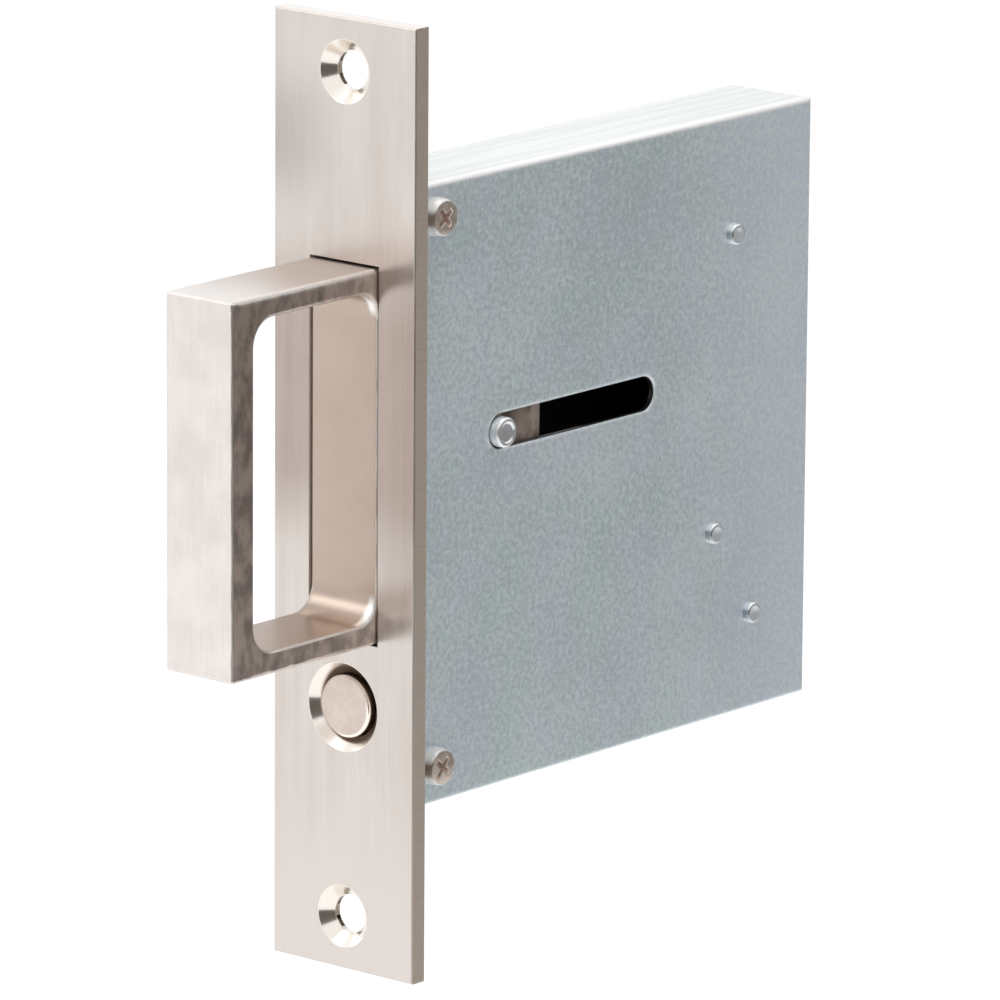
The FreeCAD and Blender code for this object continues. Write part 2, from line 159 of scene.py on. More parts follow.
class Nodes:
    """Small helper to build a material's node tree."""

    def __init__(self, name):
        self.material = bpy.data.materials.new(name)
        self.material.use_nodes = True
        self.tree = self.material.node_tree
        self.tree.nodes.clear()
        self.out = self.add("ShaderNodeOutputMaterial")
        self.coords = self.add("ShaderNodeTexCoord").outputs["Object"]
        self.x, self.y, self.z = self.xyz(self.coords)

    def add(self, kind, **settings):
        node = self.tree.nodes.new(kind)
        for key, value in settings.items():
            setattr(node, key, value)
        return node

    def link(self, a, b):
        self.tree.links.new(a, b)

    def feed(self, socket, value):
        """Sets a socket to a number or colour, or links another socket to it."""
        if isinstance(value, bpy.types.NodeSocket):
            self.link(value, socket)
        else:
            socket.default_value = value

    def xyz(self, vector):
        node = self.add("ShaderNodeSeparateXYZ")
        self.link(vector, node.inputs[0])
        return node.outputs["X"], node.outputs["Y"], node.outputs["Z"]

    def noise(self, scale, detail=3.0, roughness=0.5):
        """Noise stretched by a scale for each axis, per metre."""
        mapping = self.add("ShaderNodeMapping")
        mapping.inputs["Scale"].default_value = scale
        mapping.inputs["Location"].default_value = NOISE_PLACE
        self.link(self.coords, mapping.inputs["Vector"])
        node = self.add("ShaderNodeTexNoise")
        self.link(mapping.outputs["Vector"], node.inputs["Vector"])
        node.inputs["Scale"].default_value = 1.0
        node.inputs["Detail"].default_value = detail
        node.inputs["Roughness"].default_value = roughness
        return node.outputs["Fac"]

    def spread(self, value, low_in, high_in, low_out=0.0, high_out=1.0):
        """Smooth step of a value from one range to another."""
        node = self.add("ShaderNodeMapRange", interpolation_type="SMOOTHSTEP")
        self.link(value, node.inputs["Value"])
        ends = {"From Min": low_in, "From Max": high_in, "To Min": low_out, "To Max": high_out}
        for key, number in ends.items():
            node.inputs[key].default_value = number
        return node.outputs["Result"]

    def math(self, kind, a, b=0.0):
        node = self.add("ShaderNodeMath", operation=kind)
        self.feed(node.inputs[0], a)
        self.feed(node.inputs[1], b)
        return node.outputs["Value"]

    def all(self, *masks):
        """Product of masks."""
        product = masks[0]
        for mask in masks[1:]:
            product = self.math("MULTIPLY", product, mask)
        return product

    def either(self, *masks):
        """Greatest of masks."""
        most = masks[0]
        for mask in masks[1:]:
            most = self.math("MAXIMUM", most, mask)
        return most

    def no(self, mask):
        """Where a mask isn't."""
        return self.math("SUBTRACT", 1.0, mask)

    def above(self, value, limit):
        return self.math("GREATER_THAN", value, limit)

    def below(self, value, limit):
        return self.math("LESS_THAN", value, limit)

    def off(self, value, middle):
        """Distance from a middle value, either way."""
        return self.math("ABSOLUTE", self.math("SUBTRACT", value, middle))

    def between(self, kind, share, a, b):
        node = self.add("ShaderNodeMix", data_type=kind)
        for key, value in (("Factor", share), ("A", a), ("B", b)):
            self.feed(next(s for s in node.inputs if s.enabled and s.name == key), value)
        return next(s for s in node.outputs if s.enabled)

    def blend(self, share, a, b):
        """Number between a and b."""
        return self.between("FLOAT", share, a, b)

    def mix(self, share, a, b):
        """Colour between a and b."""
        return self.between("RGBA", share, a, b)

    def dim(self, colour, share):
        """Colour times a number."""
        node = self.add("ShaderNodeVectorMath", operation="SCALE")
        self.link(colour, node.inputs[0])
        self.feed(node.inputs["Scale"], share)
        return node.outputs["Vector"]

    def sum(self, *terms):
        """Weighted sum of (weight, socket) pairs."""
        parts = [self.math("MULTIPLY", socket, weight) for weight, socket in terms]
        total = parts[0]
        for part in parts[1:]:
            total = self.math("ADD", total, part)
        return total

    def from_axis(self, z):
        """Distance from the line along Y at this height."""
        return self.length(self.x, self.math("SUBTRACT", self.z, z))

    def length(self, a, b):
        """Length of the long side over two square ones."""
        square = self.math("ADD", self.math("MULTIPLY", a, a), self.math("MULTIPLY", b, b))
        return self.math("SQRT", square)

    def facing(self, axis):
        """How squarely the surface faces along an axis, from 0 to 1, either way."""
        normal = self.add("ShaderNodeNewGeometry").outputs["True Normal"]
        return self.math("ABSOLUTE", self.xyz(normal)[axis])

    def across(self, grain):
        """Direction in the surface at right angles to the grain."""
        normal = self.add("ShaderNodeNewGeometry").outputs["Normal"]
        node = self.add("ShaderNodeVectorMath", operation="CROSS_PRODUCT")
        self.link(normal, node.inputs[0])
        node.inputs[1].default_value = grain
        return node.outputs["Vector"]

    def rounded(self, radius):
        """Normal as it would be with edges rounded to a radius, and how much it turns there."""
        node = self.add("ShaderNodeBevel", samples=6)
        self.feed(node.inputs["Radius"], radius)
        turn = self.add("ShaderNodeVectorMath", operation="DOT_PRODUCT")
        self.link(node.outputs["Normal"], turn.inputs[0])
        self.link(self.add("ShaderNodeNewGeometry").outputs["True Normal"], turn.inputs[1])
        return node.outputs["Normal"], self.spread(turn.outputs["Value"], 0.86, 0.995, 1.0, 0.0)

    def bump(self, height, strength, distance, normal=None):
        node = self.add("ShaderNodeBump")
        node.inputs["Strength"].default_value = strength
        node.inputs["Distance"].default_value = distance
        self.link(height, node.inputs["Height"])
        if normal is not None:
            self.link(normal, node.inputs["Normal"])
        return node.outputs["Normal"]

    def metal(self, colour, roughness, normal, anisotropic=0.0, tangent=None, metallic=1.0):
        shader = self.add("ShaderNodeBsdfPrincipled")
        self.feed(shader.inputs["Base Color"], colour)
        self.feed(shader.inputs["Metallic"], metallic)
        self.feed(shader.inputs["Roughness"], roughness)
        shader.inputs["Anisotropic"].default_value = anisotropic
        self.link(normal, shader.inputs["Normal"])
        if tangent is not None:
            self.link(tangent, shader.inputs["Tangent"])
        self.link(shader.outputs["BSDF"], self.out.inputs["Surface"])
        return self.material


def rgba(r, g, b):
    """A colour as the screen shows it, from 0 to 255, as the linear values that a shader takes."""
    seen = (c / 255 for c in (r, g, b))
    return tuple(c / 12.92 if c <= 0.04045 else ((c + 0.055) / 1.055) ** 2.4 for c in seen) + (1.0,)


def satin_plate_finish():
    """Satin nickel brushed along Z, with painted shade beside the window, its countersinks turned and painted
    dark in the bore, its sides sheared, its ends painted light as a highlight.
    """
    m = Nodes("satin_plate")
    fine = m.noise((5000, 5000, 150), 3.0, 0.6)
    broad = m.noise((520, 520, 20), 3.0, 0.5)
    cloud = m.noise((75, 75, 40), 3.0, 0.55)
    tone = m.spread(m.sum((0.30, fine), (0.30, broad), (0.40, cloud)), 0.36, 0.64)
    colour = m.mix(tone, rgba(208, 199, 193), rgba(221, 214, 208))

    # Painted shade beside the window, a painted darker band above and below it, and a painted lighter
    # reflection at the foot
    painted_window_shade = m.mix(tone, rgba(184, 169, 160), rgba(197, 184, 176))
    painted_window_shade = m.dim(painted_window_shade, m.spread(m.x, -0.012, 0.010, 0.93, 1.07))
    colour = m.mix(m.spread(m.off(m.z, 0.014), 0.010, 0.024, 1.0, 0.0), colour, painted_window_shade)
    band = m.spread(m.off(m.z, 0.051), 0.001, 0.013, 1.0, 0.0)
    band = m.all(band, m.spread(m.x, -0.011, 0.003, 0.22, 0.0))
    colour = m.dim(colour, m.no(band))
    colour = m.mix(m.spread(m.z, -0.034, -0.060), colour, rgba(220, 212, 206))

    # Turned countersinks, painted dark as shade where they end in the bore
    holes = [(HOLE_Z, HOLE_SINK), (-HOLE_Z, HOLE_SINK), (BUTTON_Z, BUTTON_SINK)]
    turned = m.either(*[m.spread(m.from_axis(z), r + 0.00002, r + 0.00008, 1.0, 0.0) for z, r in holes])
    turned = m.all(turned, m.below(m.y, -0.00002))
    colour = m.mix(turned, colour, rgba(242, 236, 228))
    deep = m.all(turned, m.above(m.y, PLATE_FRONT + 0.0019))
    colour = m.mix(deep, colour, rgba(92, 78, 68))

    # Sheared sides, ends painted light as a highlight, and a fine broken edge painted lighter, partly wear
    # and partly painted highlight
    side = m.above(m.facing(0), 0.95)
    sheared = m.noise((900, 300, 2600), 3.0, 0.6)
    colour = m.mix(side, colour, m.mix(sheared, rgba(190, 174, 161), rgba(214, 199, 186)))
    colour = m.mix(m.above(m.facing(2), 0.8), colour, rgba(246, 242, 239))
    normal, edge = m.rounded(0.00018)
    colour = m.mix(m.math("MULTIPLY", edge, 0.6), colour, rgba(240, 234, 229))

    roughness = m.blend(turned, m.spread(fine, 0.3, 0.7, 0.30, 0.38), 0.19)
    roughness = m.blend(side, roughness, 0.5)
    height = m.math("MULTIPLY", fine, m.no(turned))
    normal = m.bump(height, 0.22, GRAIN_DEPTH, normal)
    metallic = m.blend(side, 1.0, 0.3)
    return m.metal(colour, roughness, normal, 0.6, m.across(BRUSHED_UPRIGHT), metallic)


def satin_pull_finish():
    """Satin nickel brushed along each bar, painted darker and warmer inside the loop as shade, with a painted
    reflection on the top and painted highlights on its edges, partly wear.
    """
    m = Nodes("satin_pull")
    off = m.off(m.z, (PULL_LOW + PULL_HIGH) / 2)
    reach = (PULL_HIGH - PULL_LOW) / 2 - PULL_SIDE_BAR
    sideways = m.above(m.facing(0), 0.8)
    facing_y = m.facing(1)
    cloud = m.noise((110, 110, 110), 3.0, 0.6)

    # Brushed marks along the bar that a face belongs to
    upright = m.noise((4940, 4927.5, 110), 3.0, 0.6)
    level = m.noise((4940, 110, 4940), 3.0, 0.6)
    in_bar = m.all(m.spread(off, reach - 0.002, reach + 0.001), m.below(facing_y, 0.7))
    fine = m.blend(in_bar, upright, level)
    tone = m.sum((0.3, fine), (0.7, cloud))
    colour = m.mix(m.spread(tone, 0.36, 0.64), rgba(221, 213, 209), rgba(234, 228, 224))

    # Inside of the loop, painted darker and warmer as shade
    behind = m.above(m.y, PULL_FRONT + PULL_FRONT_BAR - 0.00005)
    inner = m.all(m.below(off, reach + 0.00005), behind, m.below(m.facing(0), 0.5))
    painted_loop_shade = m.mix(cloud, rgba(176, 157, 142), rgba(196, 178, 164))
    floor = m.mix(cloud, rgba(164, 145, 131), rgba(189, 171, 157))
    painted_loop_shade = m.mix(m.above(m.facing(2), 0.75), painted_loop_shade, floor)
    colour = m.mix(m.math("MULTIPLY", inner, 0.9), colour, painted_loop_shade)

    # Top, with a painted reflection: paler toward the front, darker toward the plate
    top = m.all(m.above(m.z, PULL_HIGH - 0.0001), m.above(m.facing(2), 0.9))
    painted_top_reflection = m.mix(m.spread(m.y, PULL_FRONT, -0.012), rgba(236, 232, 229), rgba(208, 197, 190))
    colour = m.mix(top, colour, painted_top_reflection)

    # Near side, smudged, with painted shade and painted light where the tail shows in the case's slot
    near = m.all(sideways, m.above(m.x, 0.0))
    smudge = m.spread(m.noise((420, 420, 260), 3.0, 0.6), 0.34, 0.62, 0.72, 1.26)
    colour = m.mix(near, colour, rgba(222, 207, 198))
    colour = m.dim(colour, m.blend(near, 1.0, smudge))
    along_slot = m.math("SUBTRACT", m.y, m.math("MULTIPLY", m.z, 0.9))
    in_slot = m.spread(along_slot, 0.0165, 0.0262, 0.48, 1.25)
    colour = m.dim(colour, m.blend(m.above(m.y, 0.012), 1.0, in_slot))

    # Edges painted light, partly wear and partly painted highlight: widest on the near top ridge, a painted
    # reflection round the loop's rear corners, narrow at the front
    corner_z = m.spread(off, reach - PULL_CORNER, reach - PULL_CORNER + 0.0016)
    arc_start = PLATE_FRONT - PULL_CORNER
    corner_y = m.spread(m.y, arc_start - 0.0004, arc_start + 0.0012)
    corner = m.all(corner_z, corner_y, m.below(off, reach + 0.0004))
    near_top = m.above(m.z, PULL_HIGH - 0.0012)
    ridge = m.all(near_top, m.above(m.x, PULL_HALF - 0.0012),
                  m.spread(m.y, PULL_FRONT + 0.0004, PULL_FRONT + 0.0016))
    white = m.either(corner, ridge)
    front_top = m.all(near_top, m.below(m.y, PULL_FRONT + 0.0012))
    wear_and_highlight_width = m.spread(m.noise((190, 190, 190), 3.0, 0.6), 0.38, 0.62, 0.00022, 0.0007)
    normal, edge = m.rounded(m.blend(white, m.blend(front_top, wear_and_highlight_width, 0.00008), 0.0013))
    share = m.math("MULTIPLY", edge, m.blend(front_top, m.blend(white, 0.85, 1.0), 0.3))
    rim = m.spread(m.x, PULL_HALF - 0.0017, PULL_HALF - 0.0008)
    rim = m.all(corner, rim, m.below(m.facing(0), 0.5))
    bright = m.mix(white, rgba(246, 241, 236), rgba(255, 254, 252))
    colour = m.mix(m.either(share, rim), colour, bright)

    roughness = m.blend(edge, m.spread(cloud, 0.3, 0.7, 0.30, 0.34), 0.18)
    roughness = m.blend(top, roughness, 0.44)
    roughness = m.blend(m.all(sideways, m.no(edge)), roughness, 0.32)
    metallic = m.blend(m.all(edge, ridge), m.blend(sideways, 1.0, 0.88), 1.0)
    height = m.math("MULTIPLY", fine, m.no(m.either(sideways, m.above(facing_y, 0.8))))
    normal = m.bump(height, 0.10, GRAIN_DEPTH, normal)
    return m.metal(colour, roughness, normal, 0.5, m.across(BRUSHED_UPRIGHT), metallic)


def button_finish():
    """Matt satin nickel with a fine grain on the front, a painted highlight on the lower right of its rim,
    and painted shade down the side.
    """
    m = Nodes("satin_button")
    grain = m.noise((3000, 3000, 3000), 3.0, 0.6)
    cloud = m.noise((420, 420, 420), 2.0, 0.5)
    tone = m.sum((0.6, grain), (0.4, cloud))
    colour = m.mix(m.spread(tone, 0.36, 0.64), rgba(206, 190, 181), rgba(220, 207, 198))
    # Painted shade down the side, and a painted highlight on the lower right of the rounded rim
    down_side = m.spread(m.y, BUTTON_FRONT + 0.0003, BUTTON_FRONT + 0.0006)
    rim = m.spread(m.from_axis(BUTTON_Z), BUTTON_RADIUS - 0.0005, BUTTON_RADIUS - 0.0003)
    low_right = m.math("SUBTRACT", m.x, m.z)
    rim = m.all(rim, m.spread(low_right, 0.0015 - BUTTON_Z, 0.0045 - BUTTON_Z))
    colour = m.mix(rim, colour, rgba(255, 247, 238))
    colour = m.mix(down_side, colour, rgba(92, 76, 66))
    roughness = m.blend(rim, m.spread(grain, 0.3, 0.7, 0.32, 0.42), 0.18)
    return m.metal(colour, roughness, m.bump(grain, 0.25, GRAIN_DEPTH))


def zinc_finish():
    """Zinc-plated sheet: a fine even mottle in blue-grey and green-grey patches, painted dark inside the case
    as shade, painted lighter toward the rear and the top, with painted highlight lines on the fold and round
    the slot.
    """
    m = Nodes("zinc_plate")
    mottle = m.noise((1300, 1300, 1300), 3.0, 0.6)
    patch = m.noise((110, 110, 95), 3.0, 0.6)
    other = m.noise((60, 60, 60), 2.0, 0.5)
    speck = m.noise((3200, 3200, 3200), 2.0, 0.5)
    grain = m.spread(m.sum((0.55, mottle), (0.25, speck), (0.20, other)), 0.385, 0.615)
    hue = m.blend(m.above(m.x, 0.0), 0.5, m.spread(patch, 0.36, 0.64))
    light = m.mix(hue, rgba(234, 248, 248), rgba(237, 247, 254))
    dark = m.mix(hue, rgba(207, 223, 225), rgba(211, 222, 231))
    colour = m.mix(grain, dark, light)

    # Painted light: bluer and lighter toward the rear, paler toward the top, and lighter on the top itself,
    # which is streaked
    bluer = m.mix(grain, rgba(225, 237, 250), rgba(241, 250, 255))
    toward_rear = m.spread(m.y, 0.050, CASE_REAR, 0.0, 0.9)
    colour = m.mix(toward_rear, colour, bluer)
    colour = m.dim(colour, m.spread(m.z, CASE_LOW, CASE_HIGH, 0.96, 1.07))
    streak = m.noise((900, 25, 900), 2.0, 0.5)
    topside = m.mix(m.spread(streak, 0.38, 0.62), rgba(236, 240, 240), rgba(247, 249, 249))
    colour = m.mix(m.above(m.facing(2), 0.8), colour, topside)

    # Painted highlights: white lines along the top fold and round the slot
    near_fold = m.all(m.above(m.z, CASE_HIGH - 0.0014), m.above(m.x, CASE_HALF - 0.0016))
    near_slot = m.all(m.above(m.y, 0.018), m.below(m.y, 0.060), m.below(m.off(m.z, GUIDE_Z), 0.004))
    normal, edge = m.rounded(m.blend(near_fold, m.blend(near_slot, 0.00025, 0.0007), 0.0012))
    fold = m.all(near_fold, m.spread(m.xyz(normal)[2], 0.10, 0.42))
    colour = m.mix(m.either(edge, fold), colour, rgba(255, 255, 255))

    # Inside faces painted dark as shade, and cut edges of the sheet
    wall = CASE_SHEET * 0.8
    inside = m.all(m.below(m.off(m.x, 0.0), CASE_HALF - 0.00022), m.below(m.y, CASE_REAR - wall),
                   m.below(m.z, CASE_HIGH - wall), m.above(m.z, CASE_LOW + wall), m.above(m.y, 0.0002))
    deep = m.below(m.off(m.x, 0.0), CASE_HALF - CASE_SHEET - 0.0001)
    colour = m.mix(inside, colour, m.mix(deep, rgba(34, 28, 26), rgba(205, 172, 162)))

    roughness = m.blend(edge, m.spread(mottle, 0.3, 0.7, 0.40, 0.52), 0.3)
    metallic = m.blend(inside, m.blend(toward_rear, 0.5, 0.36), 0.1)
    normal = m.bump(mottle, 0.15, GRAIN_DEPTH, normal)
    return m.metal(colour, roughness, normal, metallic=metallic)


def steel_finish(name, light, dark, rough, metallic=1.0):
    """Turned or drawn steel with fine marks and a slow change of tone."""
    m = Nodes(name)
    fine = m.noise((2600, 2600, 2600), 3.0, 0.6)
    cloud = m.noise((320, 320, 320), 2.0, 0.5)
    tone = m.sum((0.5, fine), (0.5, cloud))
    colour = m.mix(m.spread(tone, 0.38, 0.62), dark, light)
    roughness = m.spread(fine, 0.3, 0.7, rough - 0.04, rough + 0.08)
    return m.metal(colour, roughness, m.bump(fine, 0.15, POLISH_DEPTH), metallic=metallic)


def pin_finish():
    """Zinc-plated turned pins: sides and rims painted white above and below as highlights, the guide pin's
    sides painted lighter, greyer ends.
    """
    m = Nodes("zinc_turned")
    cloud = m.noise((900, 900, 900), 3.0, 0.6)
    end = m.above(m.facing(0), 0.93)
    in_slot = m.below(m.y, 0.04)
    # Painted highlights on the upper and lower sides; the guide pin's sides painted lighter than the posts'
    middle = m.mix(in_slot, rgba(172, 180, 184), rgba(240, 243, 244))
    side = m.mix(m.spread(m.facing(2), 0.25, 0.6), middle, rgba(255, 255, 255))
    flat = m.mix(cloud, m.mix(in_slot, rgba(218, 226, 230), rgba(186, 187, 194)), rgba(236, 238, 242))
    metallic = m.blend(end, 0.6, 0.5)
    roughness = m.blend(end, 0.2, m.blend(in_slot, 0.45, 0.28))
    normal = m.bump(cloud, 0.02, POLISH_DEPTH)
    return m.metal(m.mix(end, side, flat), roughness, normal, metallic=metallic)


def screw_finish():
    """Plated screws: rounded sides painted with highlights above and below and a painted dark reflection
    between, a darker face of its own tone, rims painted light as a highlight, and a dark cross recess.
    """
    m = Nodes("screw_steel")
    cloud = m.noise((700, 700, 700), 3.0, 0.6)
    top = CASE_HALF + SCREW_HEAD
    face = m.above(m.x, top - 0.00001)
    # Sides painted with highlights above and below and a painted dark reflection between
    side = m.mix(m.spread(m.facing(2), 0.2, 0.55), rgba(150, 134, 122), rgba(255, 253, 250))
    colour = m.mix(face, side, m.mix(cloud, rgba(190, 173, 160), rgba(244, 232, 222)))
    pit = m.all(m.below(m.x, top - 0.00008), m.above(m.x, top - 0.0013))
    for z, _ in SCREWS.values():
        from_middle = m.length(m.math("SUBTRACT", m.y, SCREW_Y), m.math("SUBTRACT", m.z, z))
        recess = m.all(pit, m.below(from_middle, 0.0019))
        colour = m.mix(recess, colour, rgba(206, 182, 168))
    # Rims painted light as a highlight
    normal, edge = m.rounded(0.00016)
    colour = m.mix(m.math("MULTIPLY", edge, 0.8), colour, rgba(248, 243, 238))
    metallic = m.blend(m.above(m.x, top - 0.0001), 0.15, 0.5)
    normal = m.bump(m.math("MULTIPLY", cloud, face), 0.1, POLISH_DEPTH, normal)
    return m.metal(colour, m.spread(cloud, 0.3, 0.7, 0.22, 0.34), normal, metallic=metallic)


def make_world():
    world = bpy.data.worlds.new("studio")
    scene.world = world
    world.use_nodes = True
    tree = world.node_tree
    tree.nodes.clear()
    out = tree.nodes.new("ShaderNodeOutputWorld")
    path = tree.nodes.new("ShaderNodeLightPath")
    seen = tree.nodes.new("ShaderNodeBackground")
    seen.inputs["Strength"].default_value = 1.0
    soft = tree.nodes.new("ShaderNodeBackground")
    soft.inputs["Strength"].default_value = 0.5
    for node in (seen, soft):
        node.inputs["Color"].default_value = (1, 1, 1, 1)
    shown = path.outputs["Is Camera Ray"]
    for kind in ("Is Glossy Ray", "Is Transmission Ray"):
        either = tree.nodes.new("ShaderNodeMath")
        either.operation = "MAXIMUM"
        tree.links.new(shown, either.inputs[0])
        tree.links.new(path.outputs[kind], either.inputs[1])
        shown = either.outputs["Value"]
    mix = tree.nodes.new("ShaderNodeMixShader")
    tree.links.new(shown, mix.inputs["Fac"])
    tree.links.new(soft.outputs["Background"], mix.inputs[1])
    tree.links.new(seen.outputs["Background"], mix.inputs[2])
    tree.links.new(mix.outputs["Shader"], out.inputs["Surface"])


def make_floor():
    mesh = bpy.data.meshes.new("floor")
    half = FLOOR_SIZE / 2
    corners = [(x * half, y * half, FLOOR_Z) for x, y in SQUARE]
    mesh.from_pydata(corners, [], [(0, 1, 2, 3)])
    floor = bpy.data.objects.new("floor", mesh)
    scene.collection.objects.link(floor)
    m = Nodes("floor")
    paper = m.noise((30, 30, 30), 3.0, 0.5)
    shader = m.add("ShaderNodeBsdfDiffuse")
    m.feed(shader.inputs["Color"], m.mix(paper, (0.78, 0.78, 0.78, 1), (0.82, 0.82, 0.82, 1)))
    glow = m.add("ShaderNodeEmission")
    glow.inputs["Color"].default_value = (1, 1, 1, 1)
    path = m.add("ShaderNodeLightPath")
    seen = m.either(path.outputs["Is Camera Ray"], path.outputs["Is Glossy Ray"],
                    path.outputs["Is Transmission Ray"])
    m.link(m.math("MULTIPLY", seen, FLOOR_GLOW), glow.inputs["Strength"])
    both = m.add("ShaderNodeAddShader")
    m.link(shader.outputs["BSDF"], both.inputs[0])
    m.link(glow.outputs["Emission"], both.inputs[1])
    m.link(both.outputs["Shader"], m.out.inputs["Surface"])
    mesh.materials.append(m.material)


def make_wall():
    """The unlit side of the studio, to the right of the object. Only reflections show it."""
    steps = 24
    points = []
    for i in range(steps + 1):
        a = math.radians(WALL_FROM + (WALL_TO - WALL_FROM) * i / steps)
        for z in (WALL_LOW, WALL_HIGH):
            points.append((WALL_RADIUS * math.cos(a), WALL_RADIUS * math.sin(a), z))
    faces = [(2 * i, 2 * i + 2, 2 * i + 3, 2 * i + 1) for i in range(steps)]
    mesh = bpy.data.meshes.new("unlit_side")
    mesh.from_pydata(points, [], faces)
    wall = bpy.data.objects.new("unlit_side", mesh)
    scene.collection.objects.link(wall)
    wall.visible_camera = False
    wall.visible_diffuse = False
    wall.visible_shadow = False
    wall.visible_transmission = False
    m = Nodes("unlit_side")
    glow = m.add("ShaderNodeEmission")
    cloth = m.noise((8, 8, 8), 3.0, 0.5)
    m.link(m.mix(cloth, (0.078, 0.065, 0.056, 1), (0.117, 0.101, 0.088, 1)), glow.inputs["Color"])
    m.link(glow.outputs["Emission"], m.out.inputs["Surface"])
    mesh.materials.append(m.material)


def make_lamp(name, place, aim, size, power):
    data = bpy.data.lights.new(name, "AREA")
    data.shape = "RECTANGLE"
    data.size, data.size_y = size
    data.energy = power
    lamp = bpy.data.objects.new(name, data)
    scene.collection.objects.link(lamp)
    lamp.location = place
    lamp.rotation_mode = "QUATERNION"
    lamp.rotation_quaternion = (Vector(aim) - Vector(place)).to_track_quat("-Z", "Y")


def dress(names, material):
    """Gives CAD nodes their material."""
    for name in names:
        mesh = nodes[name].data
        mesh.materials.clear()
        mesh.materials.append(material)


def make_piece(name, shape, material, body, node, smooth_to=35):
    """Makes an object from a bmesh, which stands for a CAD node and rides on its body."""
    bmesh.ops.recalc_face_normals(shape, faces=shape.faces)
    mesh = bpy.data.meshes.new(name)
    shape.to_mesh(mesh)
    shape.free()
    mesh.polygons.foreach_set("use_smooth", [True] * len(mesh.polygons))
    mesh.set_sharp_from_angle(angle=math.radians(smooth_to))
    mesh.materials.append(material)
    piece = bpy.data.objects.new(name, mesh)
    scene.collection.objects.link(piece)
    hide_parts(node)
    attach(piece, body)
    return piece


def rounding(along, radius, r, start, end, steps=6):
    """Points of an arc about (along, radius), between two angles in degrees from the axis."""
    angles = [math.radians(start + (end - start) * i / steps) for i in range(steps + 1)]
    return [(along + r * math.cos(a), radius + r * math.sin(a)) for a in angles]


def turned(axis, y, z, profile, steps=64):
    """Solid turned about a line along X (axis 0) through (y, z), or along Y (axis 1) through (0, z)."""
    shape = bmesh.new()
    rings = []
    for along, radius in profile:
        count = steps if radius > 0 else 1
        ring = []
        for i in range(count):
            a = 2 * math.pi * i / steps
            u, v = radius * math.cos(a), radius * math.sin(a)
            ring.append(shape.verts.new((along, y + u, z + v) if axis == 0 else (u, along, z + v)))
        rings.append(ring)
    for low, high in zip(rings, rings[1:]):
        for i in range(steps):
            k = (i + 1) % steps
            corners = [low[i % len(low)], low[k % len(low)], high[k % len(high)], high[i % len(high)]]
            shape.faces.new(list(dict.fromkeys(corners)))
    return shape


def frustum(low, high, turn=0.0):
    """Solid between two (x, y0, y1, z0, z1) rectangles that face X, turned in degrees about its middle."""
    shape = bmesh.new()
    rings = []
    for x, y0, y1, z0, z1 in (low, high):
        middle = Vector((x, (y0 + y1) / 2, (z0 + z1) / 2))
        spin = Matrix.Rotation(math.radians(turn), 3, "X")
        corners = [Vector((x, y, z)) for y, z in ((y0, z0), (y1, z0), (y1, z1), (y0, z1))]
        rings.append([shape.verts.new(middle + spin @ (corner - middle)) for corner in corners])
    shape.faces.new(rings[0])
    shape.faces.new(rings[1])
    for i in range(4):
        k = (i + 1) % 4
        shape.faces.new([rings[0][i], rings[0][k], rings[1][k], rings[1][i]])
    return shape


def cut(piece, tools):
    """Cuts bmesh solids out of a piece, for good."""
    for shape in tools:
        bmesh.ops.recalc_face_normals(shape, faces=shape.faces)
        mesh = bpy.data.meshes.new("tool")
        shape.to_mesh(mesh)
        shape.free()
        mesh.polygons.foreach_set("use_smooth", [True] * len(mesh.polygons))
        tool = bpy.data.objects.new("tool", mesh)
        scene.collection.objects.link(tool)
        change = piece.modifiers.new("cut", "BOOLEAN")
        change.operation = "DIFFERENCE"
        change.solver = "EXACT"
        change.object = tool
        bpy.context.view_layer.update()
        depsgraph = bpy.context.evaluated_depsgraph_get()
        result = bpy.data.meshes.new_from_object(piece.evaluated_get(depsgraph))
        result.name = piece.name
        piece.modifiers.remove(change)
        piece.data = result
        bpy.data.objects.remove(tool)
        bpy.data.meshes.remove(mesh)
    piece.data.set_sharp_from_angle(angle=math.radians(35))


def make_plate(material):
    """Face plate with a broken front edge, round countersinks and the window for the pull."""
    shape = bmesh.new()
    rings = []
    for y, inset in ((0, 0), (PLATE_FRONT + PLATE_BREAK, 0), (PLATE_FRONT, PLATE_BREAK)):
        half, end = PLATE_HALF - inset, PLATE_END - inset
        rings.append([shape.verts.new((x * half, y, z * end)) for x, z in SQUARE])
    shape.faces.new(rings[0])
    shape.faces.new(rings[-1])
    for first, second in zip(rings, rings[1:]):
        for i in range(4):
            k = (i + 1) % 4
            shape.faces.new([first[i], first[k], second[k], second[i]])
    piece = make_piece("plate_cut", shape, material, "case", "face_plate")
    over = 0.0005
    tools = [frustum((-WINDOW_HALF, PLATE_FRONT - over, over, WINDOW_LOW, WINDOW_HIGH),
                     (WINDOW_HALF, PLATE_FRONT - over, over, WINDOW_LOW, WINDOW_HIGH))]
    for z, hole, sink in ((HOLE_Z, HOLE_RADIUS, HOLE_SINK), (-HOLE_Z, HOLE_RADIUS, HOLE_SINK),
                          (BUTTON_Z, BUTTON_HOLE, BUTTON_SINK)):
        profile = [(PLATE_FRONT - over, 0), (PLATE_FRONT - over, sink + over),
                   (PLATE_FRONT + sink - hole, hole), (over, hole), (over, 0)]
        tools.append(turned(1, 0, z, profile, 128))
    cut(piece, tools)


